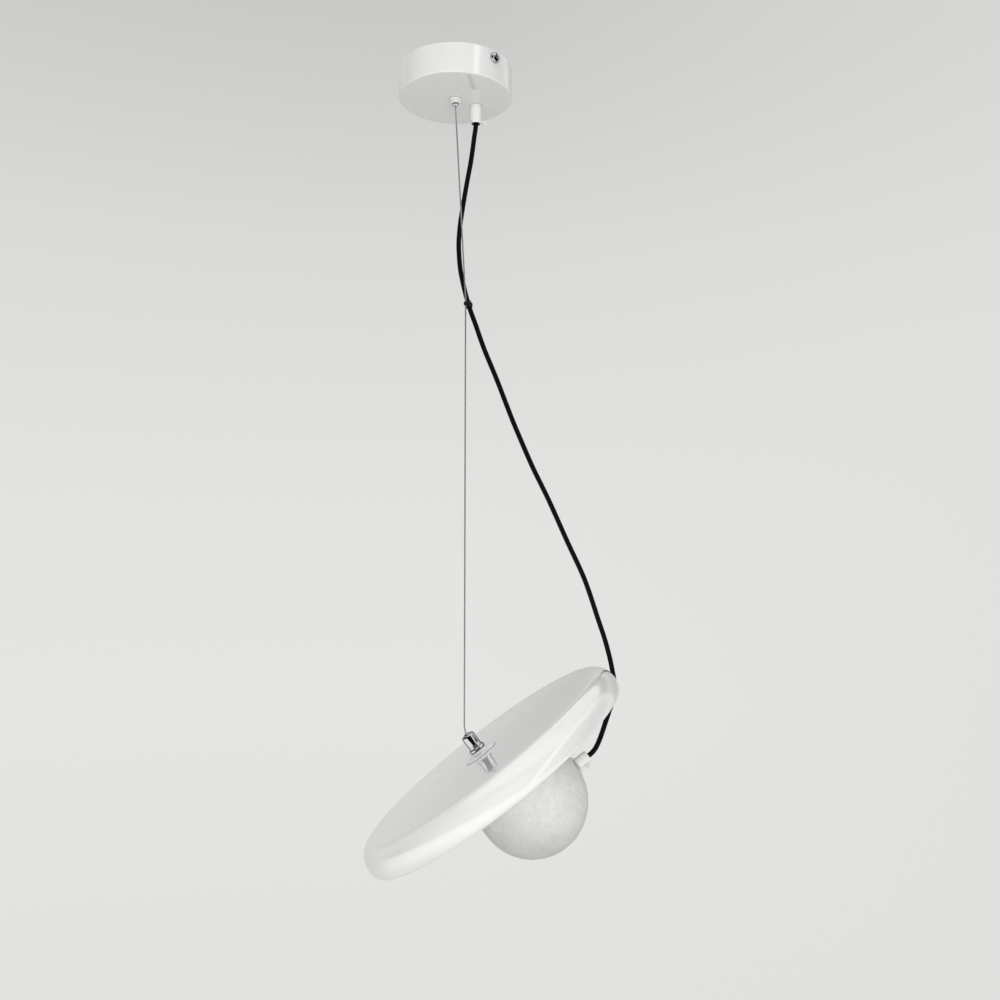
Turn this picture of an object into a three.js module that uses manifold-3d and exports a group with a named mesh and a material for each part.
// A pendant lamp: a ceiling canopy, a steel wire and a black cord, and a tilted disc shade that
// carries a pale dome with the bulb in it. Millimetres, +Z up. The origin is the middle of the
// mounting bracket's top face, which lies against the ceiling, so everything else is below zero.
import * as THREE from "three";
import { mergeVertices } from "three/addons/utils/BufferGeometryUtils.js";
import Module from "manifold-3d";

const wasm = await Module();
wasm.setup();

// Shared clearances
const seat = 0.3; // between two pieces that bear on each other
const runningFit = 0.3; // on the radius, between a shank and its hole
const cutOverrun = 3; // how far a cutting tool runs past what it cuts

// Canopy cover
const canopyRadius = 58.5;
const canopyHeight = 31;
const canopyWall = 1.5;
const canopyEdgeRound = 2;
const canopyRimGap = 0.5; // from the ceiling to the cover's rim

// Mounting bracket and its side screws
const bracketAzimuth = THREE.MathUtils.degToRad(-46.7);
const bracketWidth = 18;
const bracketThickness = 1.5;
const bracketTabLength = 15;
const ceilingSlotLength = 16;
const ceilingSlotWidth = 5;
const ceilingSlotPlace = 34; // from the middle of the bracket to the middle of a slot
const sideScrewDrop = 8.7; // below the ceiling
const sideScrewShankRadius = 2;
const sideScrewHeadRadius = 5.2;
const sideScrewHeadHeight = 3.6;
const sideScrewLength = 8;
const sideScrewSlotWidth = 1.2;
const sideScrewSlotDepth = 1.4;

// Wire outlet in the middle of the canopy
const threadRadius = 5; // all the hollow threaded shanks, M10
const outletBoreRadius = 4.2;
const outletShankLength = 9;
const outletFlangeRadius = 7;
const outletFlangeHeight = 2.3;
const outletBossRadius = 5.6;
const outletBossHeight = 2;
const outletLipHeight = 1.2;
const outletLipRadius = 3.4;
const nozzleHeadRadius = 3.7;
const nozzleHeadHeight = 1.5;
const nozzleNeckRadius = 2.75;
const nozzleTipRadius = 1.6;
const nozzleTipHeight = 1.4;
const nozzleLength = 2.9; // below the outlet's lip
const nozzleHeadGap = 0.5; // lets the head tip on the lip
const nutHeight = 4;
const nutCornerReach = 2.5; // from the thread to the nut's corners

// Suspension wire
const wireRadius = 0.75;
const wireClearance = 0.35; // on the radius, in every bore that the wire passes
const wireRimClearance = 0.45; // where the wire ends beside the wire's tail
const ferruleWall = 0.8;
const topFerruleLength = 5.8;
const tailFerruleLength = 6;
const wireSides = 8;
// The wire leans a little to the clip and then hangs straight to the gripper's mouth.
const clipPlace = new THREE.Vector3(11.1, -1, -247);
const wireMouth = new THREE.Vector3(11.1, -1.2, -675.6);

// Cord and the grips that hold it
const cordRadius = 2.5;
const cordSides = 8;
const cordStep = 11; // length of one step of the tubes
const cordLengthSteps = 20; // between two places of the cord's route, to measure its length
const cordGap = 0.15; // half the gap where two stretches of the cord meet
const gripBoreClearance = 0.5;
const canopyGripPlace = new THREE.Vector2(20.8, 14.5);
const canopyGripRadius = 6.25;
const canopyGripLength = 19.5;
const canopyNippleLength = 8;
const canopyGripScrewAzimuth = THREE.MathUtils.degToRad(39);
const canopyGripScrewHeight = 3.2; // above the grip's mouth
const canopyGripLipRadius = 5.1; // the grip narrows to this at its mouth
const canopyGripTaper = 8; // length of the narrowing part
const canopyRingReach = 0.4; // of the black ring, out of the grip's mouth
const gripMouthRadius = 4.6;
const gripMouthDepth = 3;
const thumbShankRadius = 1.3;
const thumbHeadRadius = 2.5;
const thumbHeadHeight = 1.6;
const thumbSlotWidth = 0.8;
const thumbSlotDepth = 0.6;
const canopyThumbReach = 11.5; // from the cord's axis to the outside of the screw's head
const domeThumbReach = 9.6;

// Clip that ties the cord to the wire
const clipCordAzimuth = THREE.MathUtils.degToRad(55.8); // from the wire to the cord
const clipCordLean = THREE.MathUtils.degToRad(16.4); // of the cord in the clip, out of the vertical
const clipMidWall = 1; // between the wire's bore and the cord's
const clipBoreClearance = 0.5;
const clipSleeveWall = 0.5;
const clipSleeveLength = 6.5;
const clipBandWall = 1.2; // round the cord
const clipWireWall = 0.85;
const clipBandHeight = 4.4;
const clipBandChamfer = 1;

// Terminal block and earth screw inside the canopy
const terminalLength = 24;
const terminalDepth = 15;
const terminalHeight = 11;
const terminalPlace = 25; // from the middle of the bracket, along it
const terminalHoleRadius = 1.7;
const terminalHoleDepth = 6;
const terminalHoleCount = 3;
const earthScrewPlace = 18; // from the middle of the bracket, along it, on the other side
const earthScrewHeadRadius = 3.1;
const earthScrewHeadHeight = 2;
const earthScrewShankRadius = 1.6;
const earthLeadRadius = 1;
const earthLeadSag = 6; // how far the earth lead bows down between its two ends

// Shade: tilt, azimuth of its raised end, and the disc's section
const shadeTilt = THREE.MathUtils.degToRad(37);
const shadeAzimuth = THREE.MathUtils.degToRad(4.2);
const mouthHeight = 27; // from the disc's flat face to the gripper's mouth
const discRadius = 150;
const discWall = 1.5;
const discShoulderReach = 15.9; // how far the rounded shoulder reaches in from the rim
const discShoulderDrop = 18.6; // from the flat face to the widest place
const discHeight = 29.4; // from the flat face to the bottom edge
const discTuckIn = 4.7; // how far the bottom edge is drawn in

// Wire gripper on the disc
const plateRadius = 18;
const plateEdge = 0.8;
const plateConeRadius = 11;
const plateConeHeight = 3;
const plateTopRadius = 9.2;
const plateHeight = 4.2;
const gripperFlangeRadius = 8.2;
const gripperFlangeHeight = 3.3;
const gripperFlangeChamfer = 0.7;
const gripperRadius = 6.8;
const gripperHeight = 14.4;
const gripperRound = 2.2;
const gripperBoreRadius = 5.4;
const gripperTopWall = 2.5;
const plungerRadius = 3.3;
const plungerCollarRadius = 5;
const plungerCollarHeight = 1.8;
const plungerRound = 1.1;
const plungerLead = 3; // from the plunger's end to the point where the wire bends
const jawRadius = 4.9;
const jawHeight = 4.6;
const jawTipRadius = 3.4;
const springWireRadius = 0.45;
const springRadius = 4.1;
const springTurns = 4;

// Stem that runs from the gripper through the disc to the lamp carrier
const stemBoreRadius = 3.2;
const stemTopDepth = 0.8; // below the top of the gripper's flange
const stemEndLength = 1.5; // past the carrier's nut
const washerRadius = 12;
const washerHeight = 1.5;
const spacerRadius = 14;
const spacerWall = 1.4;

// Lamp carrier and dome, centred uphill of the stem
const domeOffset = 12.5;
const domeRadius = 55.4;
const domeWall = 3.5;
const domeCentreDrop = 66.6; // from the disc's flat face to the dome's centre
const domeSkirtHeight = 20; // straight wall above the dome's centre
const domeNotchClearance = 0.5;
const carrierOverhang = 2.1; // of the carrier's plate past the dome
const carrierThickness = 1.5;
const carrierSkirtGap = 1.7; // from the carrier's skirt to the dome's inside
const carrierSkirtWall = 1.5;
const carrierSkirtDepth = 31.2;
const clipLeafThickness = 0.5;
const clipLeafBow = 0.9;
const clipLeafLength = 12;
const clipLeafWidth = 9;
const clipLeafCount = 3;

// Cord grip on the dome
const domeGripRadius = 6.1;
const domeGripLength = 13.4;
const domeGasketRadius = 8.8;
const domeGasketThickness = 1;
const domeNippleTail = 1; // past the nut
const domeGripLipRadius = 5.4;
const domeGripTaper = 0.9;
const domeRingReach = -0.5; // the ring ends inside the mouth
const domeGripScrewPlace = 6.6; // from the grip's base to its thumb screw
const domeGripScrewTurn = THREE.MathUtils.degToRad(215);
const tailEndGap = 0.4;

// Lamp holder and bulb
const holderOffset = 4.6; // uphill of the dome's axis
const holderRadius = 8.5;
const holderHeight = 26.2;
const socketRadius = 6.6;
const socketDepth = 6;
const holderPlateThickness = 1.2;
const holderPlateLength = 30;
const holderPlateWidth = 14;
const holderPlateOffset = 8; // from the holder's axis to the middle of its plate
const holderScrewRadius = 1.5;
const holderScrewHeadRadius = 2.8;
const holderScrewHeadHeight = 1.8;
const holderScrewPlace = 17; // from the holder's axis
const bulbBaseRadius = 6.2;
const bulbCollarRadius = 7.6;
const bulbCollarHeight = 4;
const bulbRadius = 7.8;
const bulbLength = 28;

// Fineness of the faceted surfaces
const coarse = 20;
const medium = 32;
const fine = 60;
const quarterSteps = 5;
const domeSteps = 9;

// Routes of the cord, one list for each stretch, from the canopy's grip to the dome's grip
const cordRoutes = [
  [
    [20.8, 14.5, -50.8],
    [20.5, 14.4, -55.5],
    [19.4, 14, -63],
    [17.4, 13, -80],
  ],
  [
    [17.4, 13, -80],
    [15.3, 12.1, -95],
    [12.7, 11.2, -110],
  ],
  [
    [12.7, 11.2, -110],
    [9.9, 10, -127],
    [7.2, 8.9, -145],
    [4.9, 7.9, -162],
    [3.6, 7, -180],
    [4, 6.3, -194],
    [5.2, 5.5, -208],
    [7.5, 4.6, -221],
    [10.7, 3.8, -235],
    [13.97, 3.2, -247],
  ],
  [
    [13.97, 3.2, -247],
    [17.2, 3.2, -257],
    [20.9, 3.3, -267],
    [29.5, 3.8, -291.7],
    [42.9, 4.9, -324.5],
    [58.6, 6.3, -365.4],
    [67.4, 7.1, -386.5],
    [79.1, 8, -413.5],
  ],
  [
    [79.1, 8, -413.5],
    [95.2, 9.4, -446.7],
    [113.3, 11.8, -487.1],
    [131.7, 15.4, -527.4],
    [145.6, 21.2, -567.7],
    [152.5, 24.6, -587.9],
    [158, 28.6, -608],
    [160.3, 30.6, -619],
    [161.8, 31.6, -627],
    [162.2, 31.6, -636],
    [160.3, 29.3, -648],
    [156.3, 24.9, -658.5],
    [151.3, 19, -670.5],
    [145.6, 12.9, -684.2],
    [140.9, 9.3, -693],
    [137.2, 8.1, -697.5],
    [133.4, 7.7, -700.4],
  ],
];

// Sizes that follow from the ones above
const holeRadius = threadRadius + runningFit;
const nutCornerRadius = threadRadius + nutCornerReach;
const wireBoreRadius = wireRadius + wireClearance;
const cordBoreRadius = cordRadius + gripBoreClearance;
const clipCordBoreRadius = cordRadius + clipBoreClearance;
const clipCordDistance = wireBoreRadius + clipMidWall + clipCordBoreRadius;
const canopyFloor = -canopyHeight; // the cover's outer bottom face
const canopyFloorInside = canopyFloor + canopyWall;
const canopyInsideRadius = canopyRadius - canopyWall;
// The corners of the bracket's ends meet the round inside of the cover.
const bracketReach = Math.sqrt((canopyInsideRadius - seat) ** 2 - (bracketWidth / 2) ** 2);
const outletBottom = canopyFloor - seat - outletFlangeHeight - outletBossHeight;
const outletLipTop = outletBottom + outletLipHeight;
const nozzleHeadBottom = outletLipTop + nozzleHeadGap;
const nozzleHeadTop = nozzleHeadBottom + nozzleHeadHeight;
const nozzleBottom = outletBottom - nozzleLength;
const gripMouth = canopyFloor - canopyGripLength;
const domeTop = -domeCentreDrop + domeSkirtHeight;
const carrierBottom = domeTop + seat;
const carrierTop = carrierBottom + carrierThickness;
const carrierRadius = domeRadius + carrierOverhang;
const carrierSkirtRadius = domeRadius - domeWall - carrierSkirtGap;
const flangeBottom = plateHeight + 2 * seat;
const flangeTop = flangeBottom + gripperFlangeHeight;
const gripperBottom = flangeTop + seat;
const gripperTop = gripperBottom + gripperHeight;
const gripperCeiling = gripperTop - gripperTopWall;
const plungerEnd = mouthHeight - plungerLead;
const carrierNutTop = carrierBottom - seat;
const stemBottom = carrierNutTop - nutHeight - stemEndLength;
const holderAxis = domeOffset + holderOffset;
const holderPlateTop = carrierBottom - seat;
const holderTop = holderPlateTop - holderPlateThickness - seat;
const holderBottom = holderTop - holderHeight;
const domeGripBase = domeOffset + domeRadius + domeGasketThickness + 2 * seat;
const domeGripMouth = domeGripBase + domeGripLength;
const carrierSkirtInside = carrierSkirtRadius - carrierSkirtWall;
// The nut's corners meet the round inside of the skirt, so its face stands in from it.
const domeNutOutside = domeOffset + Math.sqrt(carrierSkirtInside ** 2 - nutCornerRadius ** 2) - seat;
const domeNippleEnd = domeNutOutside - nutHeight - domeNippleTail;

// Colours and surfaces as the photograph shows them
function finish(color, roughness, metalness) {
  return new THREE.MeshStandardMaterial({ color, roughness, metalness });
}
const gloss = () => finish(0xf2f2ee, 0.2, 0);
const plastic = () => finish(0xeeeeea, 0.4, 0);
const chrome = () => finish(0xd8d8da, 0.12, 1);
const steel = () => finish(0xb0b0b4, 0.4, 1);
const black = () => finish(0x0d0d0e, 0.6, 0);
const alabaster = () => finish(0xdededb, 0.5, 0);
const glass = () => finish(0xf4f4f0, 0.15, 0);
const ceramic = () => finish(0xe8e6de, 0.5, 0);
const brass = () => finish(0xc9a65a, 0.35, 1);
const earthGreen = () => finish(0x4c8c3a, 0.5, 0);

// A closed surface from any geometry: corners merged, faces turned outwards.
function closed(geometry) {
  const bare = geometry.clone();
  bare.deleteAttribute("normal");
  bare.deleteAttribute("uv");
  const merged = mergeVertices(bare, 1e-3);
  const at = merged.attributes.position;
  const index = merged.index.array;
  const [a, b, c] = [new THREE.Vector3(), new THREE.Vector3(), new THREE.Vector3()];
  let volume = 0;
  for (let i = 0; i < index.length; i += 3) {
    a.fromBufferAttribute(at, index[i]);
    b.fromBufferAttribute(at, index[i + 1]);
    c.fromBufferAttribute(at, index[i + 2]);
    volume += a.dot(b.cross(c));
  }
  if (volume < 0) {
    for (let i = 0; i < index.length; i += 3) {
      [index[i], index[i + 1]] = [index[i + 1], index[i]];
    }
  }
  return merged;
}

function toSolid(geometry) {
  const surface = closed(geometry);
  const vertProperties = new Float32Array(surface.attributes.position.array);
  const triVerts = new Uint32Array(surface.index.array);
  return new wasm.Manifold(new wasm.Mesh({ numProp: 3, vertProperties, triVerts }));
}

function toGeometry(solid) {
  const mesh = solid.getMesh();
  const geometry = new THREE.BufferGeometry();
  geometry.setAttribute("position", new THREE.BufferAttribute(mesh.vertProperties, 3));
  geometry.setIndex(new THREE.BufferAttribute(mesh.triVerts, 1));
  return geometry;
}

function cut(geometry, ...tools) {
  return toGeometry(tools.reduce((solid, tool) => solid.subtract(toSolid(tool)), toSolid(geometry)));
}

function join(first, ...others) {
  return toGeometry(others.reduce((solid, other) => solid.add(toSolid(other)), toSolid(first)));
}

// A section of [radius, height] points turned about Z. The section closes on itself.
function turned(section, segments = coarse) {
  const points = [...section, section[0]].map(([r, z]) => new THREE.Vector2(r, z));
  return closed(new THREE.LatheGeometry(points, segments).rotateX(Math.PI / 2));
}

// A ring, or a plain cylinder where the bore is zero, between two heights.
function ring(outer, bore, low, high, segments = coarse) {
  const section = [
    [bore, low],
    [outer, low],
    [outer, high],
    [bore, high],
  ];
  return turned(section, segments);
}

// A hexagonal nut on the Z axis.
function nut(bore, low, height) {
  const hexagon = new THREE.Shape();
  for (let i = 0; i < 6; i++) {
    const turn = (i * Math.PI) / 3;
    const x = nutCornerRadius * Math.cos(turn);
    const y = nutCornerRadius * Math.sin(turn);
    if (i === 0) hexagon.moveTo(x, y);
    else hexagon.lineTo(x, y);
  }
  hexagon.closePath();
  const body = new THREE.ExtrudeGeometry(hexagon, { depth: height, bevelEnabled: false });
  body.translate(0, 0, low);
  return cut(body, ring(bore, 0, low - cutOverrun, low + height + cutOverrun));
}

function block(length, width, height, x = 0, y = 0, z = 0) {
  return new THREE.BoxGeometry(length, width, height).translate(x, y, z);
}

// A tube along points, its ends square to its route.
function tube(points, radius, sides, step = cordStep) {
  return tubeAlong(new THREE.CatmullRomCurve3(points), radius, sides, step);
}

function tubeAlong(curve, radius, sides, step) {
  const section = new THREE.Shape();
  for (let i = 0; i < sides; i++) {
    const turn = (2 * Math.PI * i) / sides;
    const x = radius * Math.cos(turn);
    const y = radius * Math.sin(turn);
    if (i === 0) section.moveTo(x, y);
    else section.lineTo(x, y);
  }
  section.closePath();
  const steps = Math.max(2, Math.round(curve.getLength() / step));
  return closed(new THREE.ExtrudeGeometry(section, { steps, extrudePath: curve }));
}

// The arc of a quarter ellipse as section points, from one turn to another, ends included.
function arc(centreR, centreZ, reachR, reachZ, from, to, steps = quarterSteps) {
  const points = [];
  for (let i = 0; i <= steps; i++) {
    const turn = from + ((to - from) * i) / steps;
    points.push([centreR + reachR * Math.cos(turn), centreZ + reachZ * Math.sin(turn)]);
  }
  return points;
}

function put(group, name, geometry, material) {
  const mesh = new THREE.Mesh(geometry, material);
  mesh.name = name;
  group.add(mesh);
  return mesh;
}

// Turns a piece made about Z so that it lies along X.
function alongX(geometry) {
  return geometry.rotateY(Math.PI / 2);
}

const lamp = new THREE.Group();
lamp.name = "pendant_lamp";

// Canopy
const canopy = new THREE.Group();
lamp.add(canopy);
const bracket = new THREE.Group();
bracket.rotation.z = bracketAzimuth;
canopy.add(bracket);

function canopyCover() {
  const quarter = Math.PI / 2;
  const roundCentre = canopyRadius - canopyEdgeRound;
  const section = [
    [holeRadius, canopyFloor],
    ...arc(
      roundCentre,
      canopyFloor + canopyEdgeRound,
      canopyEdgeRound,
      canopyEdgeRound,
      -quarter,
      0,
      quarterSteps - 2,
    ),
    [canopyRadius, -canopyRimGap],
    [canopyInsideRadius, -canopyRimGap],
    [canopyInsideRadius, canopyFloorInside],
    [holeRadius, canopyFloorInside],
  ];
  const low = canopyFloor - cutOverrun;
  const high = canopyFloorInside + cutOverrun;
  const gripHole = ring(holeRadius, 0, low, high);
  gripHole.translate(canopyGripPlace.x, canopyGripPlace.y, 0);
  const reach = canopyRadius + cutOverrun;
  const screwHole = alongX(ring(sideScrewShankRadius + runningFit, 0, -reach, reach));
  screwHole.rotateZ(bracketAzimuth).translate(0, 0, -sideScrewDrop);
  return cut(turned(section, fine), gripHole, screwHole);
}

function mountingBracket() {
  const strapLength = 2 * bracketReach;
  const strap = block(strapLength, bracketWidth, bracketThickness, 0, 0, -bracketThickness / 2);
  const tabMiddle = bracketReach - bracketThickness / 2;
  const tabs = [-1, 1].map((side) =>
    block(bracketThickness, bracketWidth, bracketTabLength, side * tabMiddle, 0, -bracketTabLength / 2),
  );
  const slotHeight = bracketThickness + 2 * cutOverrun;
  const slots = [-1, 1].map((side) =>
    block(ceilingSlotLength, ceilingSlotWidth, slotHeight, side * ceilingSlotPlace, 0, 0),
  );
  const long = bracketReach + cutOverrun;
  const screwHole = alongX(ring(sideScrewShankRadius + runningFit, 0, -long, long));
  screwHole.translate(0, 0, -sideScrewDrop);
  const earthHole = ring(earthScrewShankRadius + runningFit, 0, -bracketTabLength, cutOverrun);
  earthHole.translate(earthScrewPlace, 0, 0);
  return cut(join(strap, ...tabs), ...slots, screwHole, earthHole);
}

function sideScrew() {
  const under = canopyRadius + seat;
  const top = under + sideScrewHeadHeight;
  const half = sideScrewHeadHeight / 2;
  const section = [
    [0, under - sideScrewLength],
    [sideScrewShankRadius, under - sideScrewLength],
    [sideScrewShankRadius, under],
    [sideScrewHeadRadius, under],
    ...arc(0, under + half, sideScrewHeadRadius, half, 0, Math.PI / 2),
  ];
  const slot = block(2 * sideScrewHeadRadius, sideScrewSlotWidth, sideScrewSlotDepth);
  slot.translate(0, 0, top - sideScrewSlotDepth / 2);
  const cross = slot.clone().rotateZ(Math.PI / 2);
  return alongX(cut(turned(section), slot, cross)).translate(0, 0, -sideScrewDrop);
}

function outletBush() {
  const flangeLow = canopyFloor - seat - outletFlangeHeight;
  const section = [
    [outletBoreRadius, outletLipTop],
    [outletLipRadius, outletLipTop],
    [outletLipRadius, outletBottom],
    [outletBossRadius, outletBottom],
    [outletBossRadius, flangeLow],
    [outletFlangeRadius, flangeLow],
    [outletFlangeRadius, canopyFloor - seat],
    [threadRadius, canopyFloor - seat],
    [threadRadius, canopyFloor + outletShankLength],
    [outletBoreRadius, canopyFloor + outletShankLength],
  ];
  return turned(section);
}

function outletNozzle() {
  const section = [
    [wireBoreRadius, nozzleBottom],
    [nozzleTipRadius, nozzleBottom],
    [nozzleNeckRadius, nozzleBottom + nozzleTipHeight],
    [nozzleNeckRadius, nozzleHeadBottom],
    [nozzleHeadRadius, nozzleHeadBottom],
    [nozzleHeadRadius, nozzleHeadTop],
    [wireBoreRadius, nozzleHeadTop],
  ];
  return turned(section);
}

// A cord grip along Z: a threaded nipple, a collar that narrows to its mouth at the low end, and
// a side hole.
function cordGrip({ radius, lipRadius, taper, mouth, base, nippleEnd, screwAt, screwTurn }) {
  const section = [
    [cordBoreRadius, mouth + gripMouthDepth],
    [gripMouthRadius, mouth + gripMouthDepth],
    [gripMouthRadius, mouth],
    [lipRadius, mouth],
    [radius, mouth + taper],
    [radius, base],
    [threadRadius, base],
    [threadRadius, nippleEnd],
    [cordBoreRadius, nippleEnd],
  ];
  const hole = alongX(ring(thumbShankRadius + runningFit, 0, 0, radius + cutOverrun));
  hole.rotateZ(screwTurn).translate(0, 0, screwAt);
  return cut(turned(section), hole);
}

// The black ring that fills a grip's mouth round the cord.
function gripRing(mouth, reach) {
  const top = mouth + gripMouthDepth - seat;
  return ring(gripMouthRadius - seat, cordRadius + runningFit, mouth - reach, top);
}

// A thumb screw along X whose tip bears on the cord at the axis.
function thumbScrew(reach, screwAt, screwTurn) {
  const under = reach - thumbHeadHeight;
  const tip = cordRadius + runningFit;
  const section = [
    [0, tip],
    [thumbShankRadius, tip],
    [thumbShankRadius, under],
    [thumbHeadRadius, under],
    [thumbHeadRadius, reach],
    [0, reach],
  ];
  const slot = block(2 * thumbHeadRadius, thumbSlotWidth, 2 * thumbSlotDepth, 0, 0, reach);
  return alongX(cut(turned(section), slot)).rotateZ(screwTurn).translate(0, 0, screwAt);
}

function terminalBlock() {
  const middle = -bracketThickness - seat - terminalHeight / 2;
  const body = block(terminalDepth, terminalLength, terminalHeight, -terminalPlace, 0, middle);
  const pitch = terminalLength / terminalHoleCount;
  const holes = [];
  for (let i = 0; i < terminalHoleCount; i++) {
    const y = (i - (terminalHoleCount - 1) / 2) * pitch;
    const bottom = middle - terminalHeight / 2;
    const hole = ring(terminalHoleRadius, 0, bottom - cutOverrun, bottom + terminalHoleDepth);
    holes.push(hole.translate(-terminalPlace, y, 0));
  }
  return cut(body, ...holes);
}

function earthScrew() {
  const under = -bracketThickness - seat;
  const head = ring(earthScrewHeadRadius, 0, under - earthScrewHeadHeight, under);
  const shank = ring(earthScrewShankRadius, 0, under - seat, -seat);
  return join(head, shank).translate(earthScrewPlace, 0, 0);
}

function earthLead() {
  const level = -bracketThickness - seat - earthScrewHeadHeight / 2;
  const start = earthScrewPlace - earthScrewHeadRadius - earthLeadRadius;
  const end = -terminalPlace + terminalDepth / 2 + seat;
  const middle = (start + end) / 2;
  const points = [
    new THREE.Vector3(start, 0, level - earthLeadRadius),
    new THREE.Vector3((start + middle) / 2, 0, level - earthLeadSag / 2),
    new THREE.Vector3(middle, 0, level - earthLeadSag),
    new THREE.Vector3((end + middle) / 2, 0, level - earthLeadSag),
    new THREE.Vector3(end, 0, level - earthLeadSag),
  ];
  return tube(points, earthLeadRadius, wireSides);
}

// The cord's end inside the canopy, from the grip up and round to the terminal block.
function canopyTail() {
  const level = -bracketThickness - seat - terminalHeight / 2;
  const across = new THREE.Vector2(0, 1).rotateAround(new THREE.Vector2(), bracketAzimuth);
  const along = new THREE.Vector2(1, 0).rotateAround(new THREE.Vector2(), bracketAzimuth);
  const end = along.clone().multiplyScalar(-terminalPlace);
  end.addScaledVector(across, terminalLength / 2 + seat);
  const lead = end.clone().addScaledVector(across, 3 * cordRadius);
  const { x, y } = canopyGripPlace;
  const nippleTop = canopyFloor + canopyNippleLength;
  const points = [
    new THREE.Vector3(x, y, gripMouth + gripMouthDepth),
    new THREE.Vector3(x, y, canopyFloor),
    new THREE.Vector3(x, y, nippleTop),
    new THREE.Vector3(x, y + cordRadius / 2, nippleTop + cordRadius),
    new THREE.Vector3(x + cordRadius / 2, y + 2 * cordRadius, nippleTop + 3 * cordRadius),
    new THREE.Vector3((x + lead.x) / 2 + cordRadius, (y + lead.y) / 2 + 3 * cordRadius, level),
    new THREE.Vector3(lead.x, lead.y, level),
    new THREE.Vector3(end.x, end.y, level),
  ];
  return tube(points, cordRadius, cordSides, 2 * cordRadius);
}

put(canopy, "canopy_cover", canopyCover(), gloss());
put(bracket, "mounting_bracket", mountingBracket(), steel());
put(bracket, "side_screw_front", sideScrew(), chrome());
put(bracket, "side_screw_back", sideScrew().rotateZ(Math.PI), chrome());
put(bracket, "terminal_block", terminalBlock(), plastic());
put(bracket, "earth_screw", earthScrew(), brass());
put(bracket, "earth_lead", earthLead(), earthGreen());
put(canopy, "outlet_bush", outletBush(), gloss());
put(canopy, "outlet_nut", nut(holeRadius, canopyFloorInside + seat, nutHeight), steel());
put(canopy, "outlet_nozzle", outletNozzle(), chrome());
put(canopy, "cord_canopy_tail", canopyTail(), black());

const canopyGrip = new THREE.Group();
canopyGrip.position.set(canopyGripPlace.x, canopyGripPlace.y, 0);
canopy.add(canopyGrip);
const canopyScrewAt = gripMouth + canopyGripScrewHeight + gripMouthDepth / 2;
const canopyNippleEnd = canopyFloor + canopyNippleLength;
put(
  canopyGrip,
  "canopy_cord_grip",
  cordGrip({
    radius: canopyGripRadius,
    lipRadius: canopyGripLipRadius,
    taper: canopyGripTaper,
    mouth: gripMouth,
    base: canopyFloor - seat,
    nippleEnd: canopyNippleEnd,
    screwAt: canopyScrewAt,
    screwTurn: canopyGripScrewAzimuth,
  }),
  gloss(),
);
put(canopyGrip, "canopy_grip_ring", gripRing(gripMouth, canopyRingReach), black());
put(
  canopyGrip,
  "canopy_grip_screw",
  thumbScrew(canopyThumbReach, canopyScrewAt, canopyGripScrewAzimuth),
  plastic(),
);
put(canopyGrip, "canopy_grip_nut", nut(holeRadius, canopyFloorInside + seat, nutHeight), steel());

// Suspension: wire, its upper ferrule, the clip and the cord
const suspension = new THREE.Group();
lamp.add(suspension);

function suspensionWire() {
  const top = new THREE.Vector3(0, 0, nozzleHeadTop + seat + topFerruleLength);
  const outlet = new THREE.Vector3(0, 0, nozzleHeadTop);
  const underOutlet = new THREE.Vector3(0, 0, nozzleBottom);
  const aboveClip = clipPlace.clone().setZ(clipPlace.z + clipBandHeight / 2);
  const underClip = clipPlace.clone().setZ(clipPlace.z - clipBandHeight / 2);
  const end = wireMouth.clone().setZ(wireMouth.z + wireRimClearance);
  const stops = [top, outlet, underOutlet, aboveClip, underClip, end];
  const rows = stops.map((stop) => {
    const row = [];
    for (let i = 0; i < wireSides; i++) {
      const turn = (2 * Math.PI * i) / wireSides;
      row.push([stop.x + wireRadius * Math.cos(turn), stop.y + wireRadius * Math.sin(turn), stop.z]);
    }
    return row;
  });
  return closed(loft(rows));
}

// A closed skin over rows of points, with flat ends.
function loft(rows) {
  const sides = rows[0].length;
  const position = rows.flat(2);
  const index = [];
  for (let r = 0; r + 1 < rows.length; r++) {
    for (let i = 0; i < sides; i++) {
      const j = (i + 1) % sides;
      const [a, b] = [r * sides + i, r * sides + j];
      index.push(a, b, b + sides, a, b + sides, a + sides);
    }
  }
  const last = (rows.length - 1) * sides;
  for (let i = 1; i + 1 < sides; i++) {
    index.push(0, i + 1, i);
    index.push(last, last + i, last + i + 1);
  }
  const geometry = new THREE.BufferGeometry();
  geometry.setAttribute("position", new THREE.Float32BufferAttribute(position, 3));
  geometry.setIndex(index);
  return geometry;
}

// A small clip: a band round the cord and the wire, and a sleeve that leans with the cord.
function cordClip() {
  const wireOuter = wireBoreRadius + clipWireWall;
  const toCord = new THREE.Vector2(clipCordDistance, 0);
  const { x, y } = toCord.rotateAround(new THREE.Vector2(), clipCordAzimuth);
  const atCord = (radius, length) =>
    ring(radius, 0, -length / 2, length / 2).rotateY(-clipCordLean).translate(x, y, 0);
  const sleeve = atCord(clipCordBoreRadius + clipSleeveWall, clipSleeveLength);
  const cordBand = clipBand(clipCordBoreRadius + clipBandWall).translate(x, y, 0);
  const webHeight = clipBandHeight - 2 * clipBandChamfer;
  const web = block(clipCordDistance, 2 * wireOuter, webHeight, clipCordDistance / 2, 0, 0);
  web.rotateZ(clipCordAzimuth);
  const cordHole = atCord(clipCordBoreRadius, 2 * clipSleeveLength);
  const wireHole = ring(wireBoreRadius, 0, -clipSleeveLength, clipSleeveLength);
  return cut(join(sleeve, cordBand, clipBand(wireOuter), web), cordHole, wireHole);
}

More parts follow.
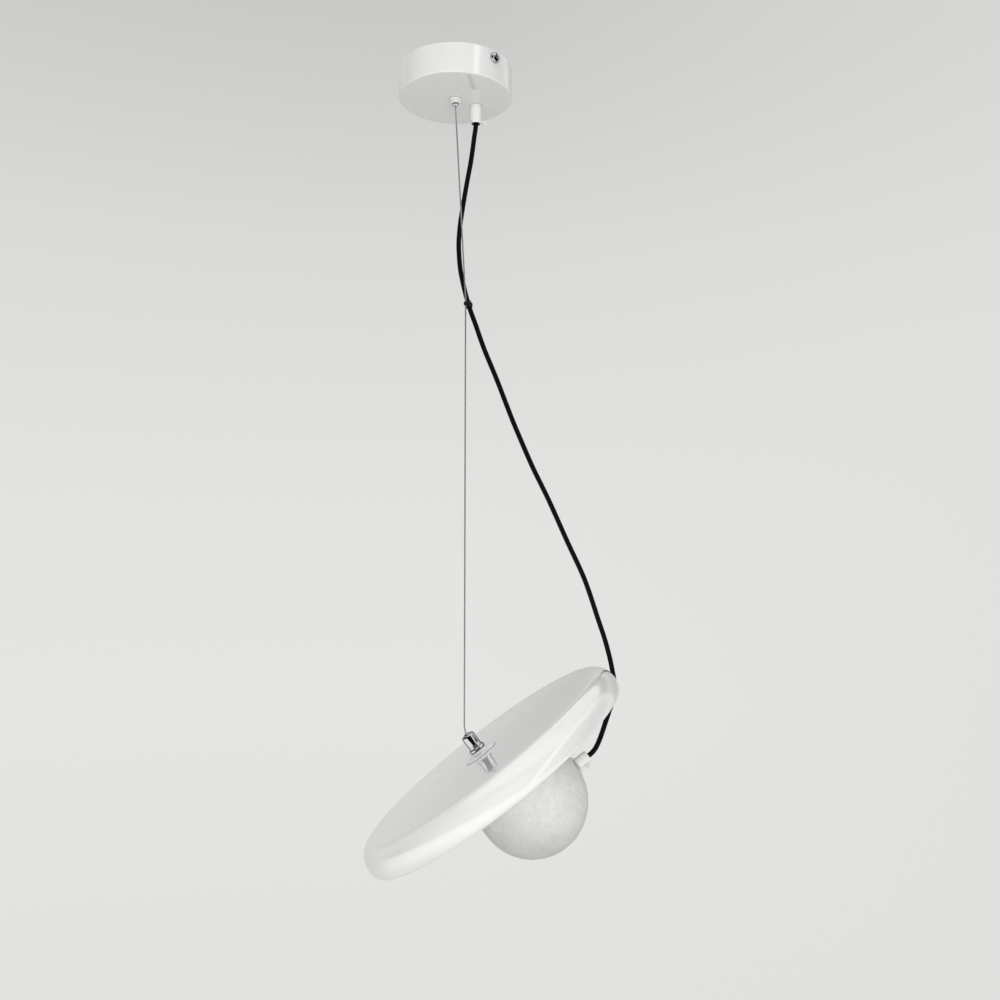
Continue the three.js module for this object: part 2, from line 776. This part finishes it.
// A plain band about Z with its two edges taken off.
function clipBand(radius) {
  const half = clipBandHeight / 2;
  const section = [
    [0, -half],
    [radius - clipBandChamfer, -half],
    [radius, clipBandChamfer - half],
    [radius, half - clipBandChamfer],
    [radius - clipBandChamfer, half],
    [0, half],
  ];
  return turned(section);
}

put(suspension, "suspension_wire", suspensionWire(), steel());
const ferruleLow = nozzleHeadTop + seat;
const ferruleOuter = wireBoreRadius + ferruleWall;
const topFerrule = ring(ferruleOuter, wireBoreRadius, ferruleLow, ferruleLow + topFerruleLength);
put(suspension, "wire_top_ferrule", topFerrule, steel());
put(suspension, "cord_clip", cordClip(), black()).position.copy(clipPlace);

// One stretch of a longer route, between two lengths along it.
class Stretch extends THREE.Curve {
  constructor(route, start, end) {
    super();
    this.route = route;
    this.start = start / route.getLength();
    this.end = end / route.getLength();
  }

  getPoint(t, target) {
    return this.route.getPointAt(this.start + (this.end - this.start) * t, target);
  }
}

// Each list starts where the one before it ends, so all of them make one smooth route.
const cordPlaces = cordRoutes.flatMap((route, number) => (number === 0 ? route : route.slice(1)));
const cordRoute = new THREE.CatmullRomCurve3(cordPlaces.map((place) => new THREE.Vector3(...place)));
cordRoute.arcLengthDivisions = (cordPlaces.length - 1) * cordLengthSteps;
let placesPassed = 0;
cordRoutes.forEach((route, number) => {
  const lengths = cordRoute.getLengths();
  const start = lengths[placesPassed * cordLengthSteps] + cordGap;
  placesPassed += route.length - 1;
  const end = lengths[placesPassed * cordLengthSteps] - cordGap;
  const stretch = new Stretch(cordRoute, start, end);
  put(suspension, `cord_${number + 1}`, tubeAlong(stretch, cordRadius, cordSides, cordStep), black());
});

// Shade: a group whose origin is the middle of the disc's flat face, +X towards the raised end
const shade = new THREE.Group();
shade.rotation.set(0, -shadeTilt, shadeAzimuth, "ZYX");
const mouthToFace = new THREE.Vector3(0, 0, -mouthHeight).applyEuler(shade.rotation);
shade.position.copy(wireMouth).add(mouthToFace);
lamp.add(shade);

function shadeDisc() {
  const quarter = Math.PI / 2;
  const shoulderR = discRadius - discShoulderReach;
  const tuckR = discRadius - discTuckIn;
  const tuckDrop = discHeight - discShoulderDrop;
  const section = [
    [holeRadius, -discWall],
    [holeRadius, 0],
    ...arc(shoulderR, -discShoulderDrop, discShoulderReach, discShoulderDrop, quarter, 0),
    ...arc(tuckR, -discShoulderDrop, discTuckIn, tuckDrop, 0, -quarter).slice(1),
    [tuckR - discWall, -discHeight],
    ...arc(
      tuckR - discWall,
      -discShoulderDrop,
      discTuckIn,
      tuckDrop - discWall,
      -quarter,
      0,
      quarterSteps - 2,
    ).slice(0, -1),
    ...arc(
      shoulderR,
      -discShoulderDrop,
      discShoulderReach - discWall,
      discShoulderDrop - discWall,
      0,
      quarter,
    ),
  ];
  return turned(section, fine);
}

function gripperBasePlate() {
  const section = [
    [holeRadius, seat],
    [plateRadius, seat],
    [plateRadius, seat + plateEdge],
    [plateConeRadius, seat + plateConeHeight],
    [plateTopRadius, seat + plateConeHeight],
    [plateTopRadius, seat + plateHeight],
    [holeRadius, seat + plateHeight],
  ];
  return turned(section, medium);
}

function gripperFlange() {
  const inner = gripperFlangeRadius - gripperFlangeChamfer;
  const section = [
    [holeRadius, flangeBottom],
    [inner, flangeBottom],
    [gripperFlangeRadius, flangeBottom + gripperFlangeChamfer],
    [gripperFlangeRadius, flangeTop - gripperFlangeChamfer],
    [inner, flangeTop],
    [holeRadius, flangeTop],
  ];
  return turned(section, medium);
}

function gripperBody() {
  const topBore = plungerRadius + runningFit;
  const section = [
    [gripperBoreRadius, gripperBottom],
    [gripperRadius, gripperBottom],
    ...arc(
      gripperRadius - gripperRound,
      gripperTop - gripperRound,
      gripperRound,
      gripperRound,
      0,
      Math.PI / 2,
      quarterSteps - 1,
    ),
    [topBore, gripperTop],
    [topBore, gripperCeiling],
    [gripperBoreRadius, gripperCeiling],
  ];
  return turned(section, medium);
}

function gripperPlunger() {
  const collarTop = gripperCeiling - seat;
  const collarBottom = collarTop - plungerCollarHeight;
  const roundCentre = plungerEnd - plungerRound;
  const section = [
    [wireBoreRadius, collarBottom],
    [plungerCollarRadius, collarBottom],
    [plungerCollarRadius, collarTop],
    [plungerRadius, collarTop],
    ...arc(plungerRadius - plungerRound, roundCentre, plungerRound, plungerRound, 0, Math.PI / 2, 4),
    [wireBoreRadius, plungerEnd],
  ];
  return turned(section);
}

function gripperJaws() {
  const low = gripperBottom + seat;
  const section = [
    [wireBoreRadius, low],
    [jawTipRadius, low],
    [jawRadius, low + jawHeight / 2],
    [jawRadius, low + jawHeight],
    [wireBoreRadius, low + jawHeight],
  ];
  return turned(section);
}

function gripperSpring() {
  const low = gripperBottom + 2 * seat + jawHeight + springWireRadius;
  const high = gripperCeiling - 2 * seat - plungerCollarHeight - springWireRadius;
  const points = [];
  const perTurn = 8;
  for (let i = 0; i <= springTurns * perTurn; i++) {
    const turn = (2 * Math.PI * i) / perTurn;
    const z = low + ((high - low) * i) / (springTurns * perTurn);
    points.push(new THREE.Vector3(springRadius * Math.cos(turn), springRadius * Math.sin(turn), z));
  }
  return tube(points, springWireRadius, 5, (2 * Math.PI * springRadius) / perTurn);
}

function lampCarrier() {
  const high = carrierTop + cutOverrun;
  const under = carrierBottom - cutOverrun;
  const stemHole = ring(holeRadius, 0, under, high).translate(-domeOffset, 0, 0);
  const screwHole = ring(holderScrewRadius + runningFit, 0, under, high);
  screwHole.translate(holderOffset + holderScrewPlace, 0, 0);
  const plate = ring(carrierRadius, 0, carrierBottom, carrierTop, fine);
  return cut(plate, stemHole, screwHole).translate(domeOffset, 0, 0);
}

// The band under the carrier's plate that the dome slides over.
function carrierSkirt() {
  const top = carrierBottom - seat;
  const skirt = ring(carrierSkirtRadius, carrierSkirtInside, carrierBottom - carrierSkirtDepth, top, fine);
  const [inside, outside] = [carrierSkirtInside - cutOverrun, carrierSkirtRadius + cutOverrun];
  const gripHole = alongX(ring(holeRadius, 0, inside, outside));
  gripHole.translate(0, 0, -domeCentreDrop);
  return cut(skirt, gripHole).translate(domeOffset, 0, 0);
}

function domeDiffuser() {
  const quarter = Math.PI / 2;
  const inside = domeRadius - domeWall;
  const section = [
    ...arc(0, -domeCentreDrop, domeRadius, domeRadius, -quarter, 0, domeSteps),
    [domeRadius, domeTop],
    [inside, domeTop],
    ...arc(0, -domeCentreDrop, inside, inside, 0, -quarter, domeSteps),
  ];
  const slotRadius = threadRadius + domeNotchClearance;
  const reach = domeRadius + cutOverrun;
  const round = alongX(ring(slotRadius, 0, inside - cutOverrun, reach));
  round.translate(0, 0, -domeCentreDrop);
  const slotLength = domeWall + 2 * cutOverrun;
  const slotHeight = domeSkirtHeight + cutOverrun;
  const slot = block(slotLength, 2 * slotRadius, slotHeight);
  slot.translate(reach - slotLength / 2, 0, -domeCentreDrop + slotHeight / 2);
  return cut(turned(section, fine), join(round, slot)).translate(domeOffset, 0, 0);
}

// A bowed leaf on the carrier's skirt that holds the dome by friction.
function domeClip(turn) {
  const foot = carrierSkirtRadius + seat;
  const top = carrierBottom - seat;
  const outline = new THREE.Shape();
  outline.moveTo(foot, top);
  outline.lineTo(foot + clipLeafThickness, top);
  outline.lineTo(foot + clipLeafBow, top - clipLeafLength / 2);
  outline.lineTo(foot + clipLeafThickness, top - clipLeafLength);
  outline.lineTo(foot, top - clipLeafLength);
  outline.lineTo(foot + clipLeafBow - clipLeafThickness, top - clipLeafLength / 2);
  outline.closePath();
  const leaf = new THREE.ExtrudeGeometry(outline, { depth: clipLeafWidth, bevelEnabled: false });
  leaf.translate(0, 0, -clipLeafWidth / 2).rotateX(Math.PI / 2);
  return leaf.rotateZ(turn).translate(domeOffset, 0, 0);
}

// The dome's cord grip lies along X, its mouth uphill.
function domeGrip() {
  const grip = cordGrip({
    radius: domeGripRadius,
    lipRadius: domeGripLipRadius,
    taper: domeGripTaper,
    mouth: -domeGripMouth,
    base: -domeGripBase,
    nippleEnd: -domeNippleEnd,
    screwAt: -domeGripBase - domeGripScrewPlace,
    screwTurn: 0,
  });
  return layUphill(grip);
}

// Lays a grip's piece, made along -Z, along +X at the dome's centre height.
function layUphill(geometry) {
  geometry.rotateZ(domeGripScrewTurn);
  return geometry.rotateY(-Math.PI / 2).translate(0, 0, -domeCentreDrop);
}

function lampHolder() {
  const section = [
    [0, holderTop],
    [holderRadius, holderTop],
    [holderRadius, holderBottom],
    [socketRadius, holderBottom],
    [socketRadius, holderBottom + socketDepth],
    [0, holderBottom + socketDepth],
  ];
  return turned(section).translate(holderAxis, 0, 0);
}

function holderPlate() {
  const middle = holderPlateTop - holderPlateThickness / 2;
  const plate = block(holderPlateLength, holderPlateWidth, holderPlateThickness);
  plate.translate(holderAxis + holderPlateOffset, 0, middle);
  const hole = ring(holderScrewRadius + runningFit, 0, middle - cutOverrun, middle + cutOverrun);
  return cut(plate, hole.translate(holderAxis + holderScrewPlace, 0, 0));
}

function holderScrew() {
  const under = holderPlateTop - holderPlateThickness - seat;
  const head = ring(holderScrewHeadRadius, 0, under - holderScrewHeadHeight, under);
  const shank = ring(holderScrewRadius, 0, under - seat, carrierTop - seat);
  return join(head, shank).translate(holderAxis + holderScrewPlace, 0, 0);
}

function bulbBase() {
  const top = holderBottom + socketDepth - seat;
  const collarTop = holderBottom - seat;
  const section = [
    [0, top],
    [bulbBaseRadius, top],
    [bulbBaseRadius, collarTop],
    [bulbCollarRadius, collarTop],
    [bulbCollarRadius, collarTop - bulbCollarHeight],
    [0, collarTop - bulbCollarHeight],
  ];
  return turned(section).translate(holderAxis, 0, 0);
}

function bulbEnvelope() {
  const top = holderBottom - bulbCollarHeight - 2 * seat;
  const roundCentre = top - bulbLength + bulbRadius;
  const section = [
    [0, top],
    [bulbRadius, top],
    ...arc(0, roundCentre, bulbRadius, bulbRadius, 0, -Math.PI / 2),
  ];
  return turned(section).translate(holderAxis, 0, 0);
}

function domeTail() {
  const end = holderAxis + holderRadius + tailEndGap;
  const start = domeGripMouth - gripMouthDepth;
  const points = [start, (start + end) / 2, end].map(
    (x) => new THREE.Vector3(x, 0, -domeCentreDrop),
  );
  return tube(points, cordRadius, cordSides);
}

const stemTop = flangeTop - stemTopDepth;
const washerTop = -discWall - seat;
const stemNutTop = washerTop - washerHeight - seat;
const tailTop = mouthHeight - wireRimClearance;
const tailBottom = carrierBottom;
const tailFerruleLow = tailBottom + seat;
const tailStops = [tailTop, 0, tailBottom].map((z) => new THREE.Vector3(0, 0, z));
const tailStep = (tailTop - tailBottom) / 2;

put(shade, "shade_disc", shadeDisc(), gloss());
put(shade, "gripper_base_plate", gripperBasePlate(), gloss());
put(shade, "gripper_flange", gripperFlange(), chrome());
put(shade, "gripper_body", gripperBody(), chrome());
put(shade, "gripper_plunger", gripperPlunger(), chrome());
put(shade, "gripper_jaws", gripperJaws(), brass());
put(shade, "gripper_spring", gripperSpring(), steel());
put(shade, "wire_tail", tube(tailStops, wireRadius, wireSides, tailStep), steel());
put(
  shade,
  "wire_tail_ferrule",
  ring(ferruleOuter, wireBoreRadius, tailFerruleLow, tailFerruleLow + tailFerruleLength),
  steel(),
);
put(shade, "stem", ring(threadRadius, stemBoreRadius, stemBottom, stemTop), steel());
put(
  shade,
  "stem_washer",
  ring(washerRadius, holeRadius, washerTop - washerHeight, washerTop),
  steel(),
);
put(shade, "stem_nut", nut(holeRadius, stemNutTop - nutHeight, nutHeight), steel());
put(
  shade,
  "carrier_spacer",
  ring(spacerRadius, spacerRadius - spacerWall, carrierTop + seat, washerTop, medium),
  gloss(),
);
put(shade, "lamp_carrier", lampCarrier(), gloss());
put(shade, "carrier_skirt", carrierSkirt(), gloss());
put(shade, "carrier_nut", nut(holeRadius, carrierNutTop - nutHeight, nutHeight), steel());
for (let i = 0; i < clipLeafCount; i++) {
  const turn = (2 * Math.PI * (i + 0.5)) / clipLeafCount;
  put(shade, `dome_clip_${i + 1}`, domeClip(turn), steel());
}
put(shade, "dome_diffuser", domeDiffuser(), alabaster());
put(shade, "dome_cord_grip", domeGrip(), gloss());
put(
  shade,
  "dome_grip_gasket",
  layUphill(
    ring(
      domeGasketRadius,
      holeRadius,
      -domeGripBase + seat,
      -domeGripBase + seat + domeGasketThickness,
    ),
  ),
  plastic(),
);
put(shade, "dome_grip_ring", layUphill(gripRing(-domeGripMouth, domeRingReach)), black());
put(
  shade,
  "dome_grip_screw",
  layUphill(thumbScrew(domeThumbReach, -domeGripBase - domeGripScrewPlace, 0)),
  plastic(),
);
put(shade, "dome_grip_nut", layUphill(nut(holeRadius, -domeNutOutside, nutHeight)), steel());
put(shade, "cord_dome_tail", domeTail(), black());
put(shade, "lamp_holder", lampHolder(), ceramic());
put(shade, "holder_plate", holderPlate(), steel());
put(shade, "holder_screw", holderScrew(), steel());
put(shade, "bulb_base", bulbBase(), ceramic());
put(shade, "bulb_envelope", bulbEnvelope(), glass());

export default lamp;
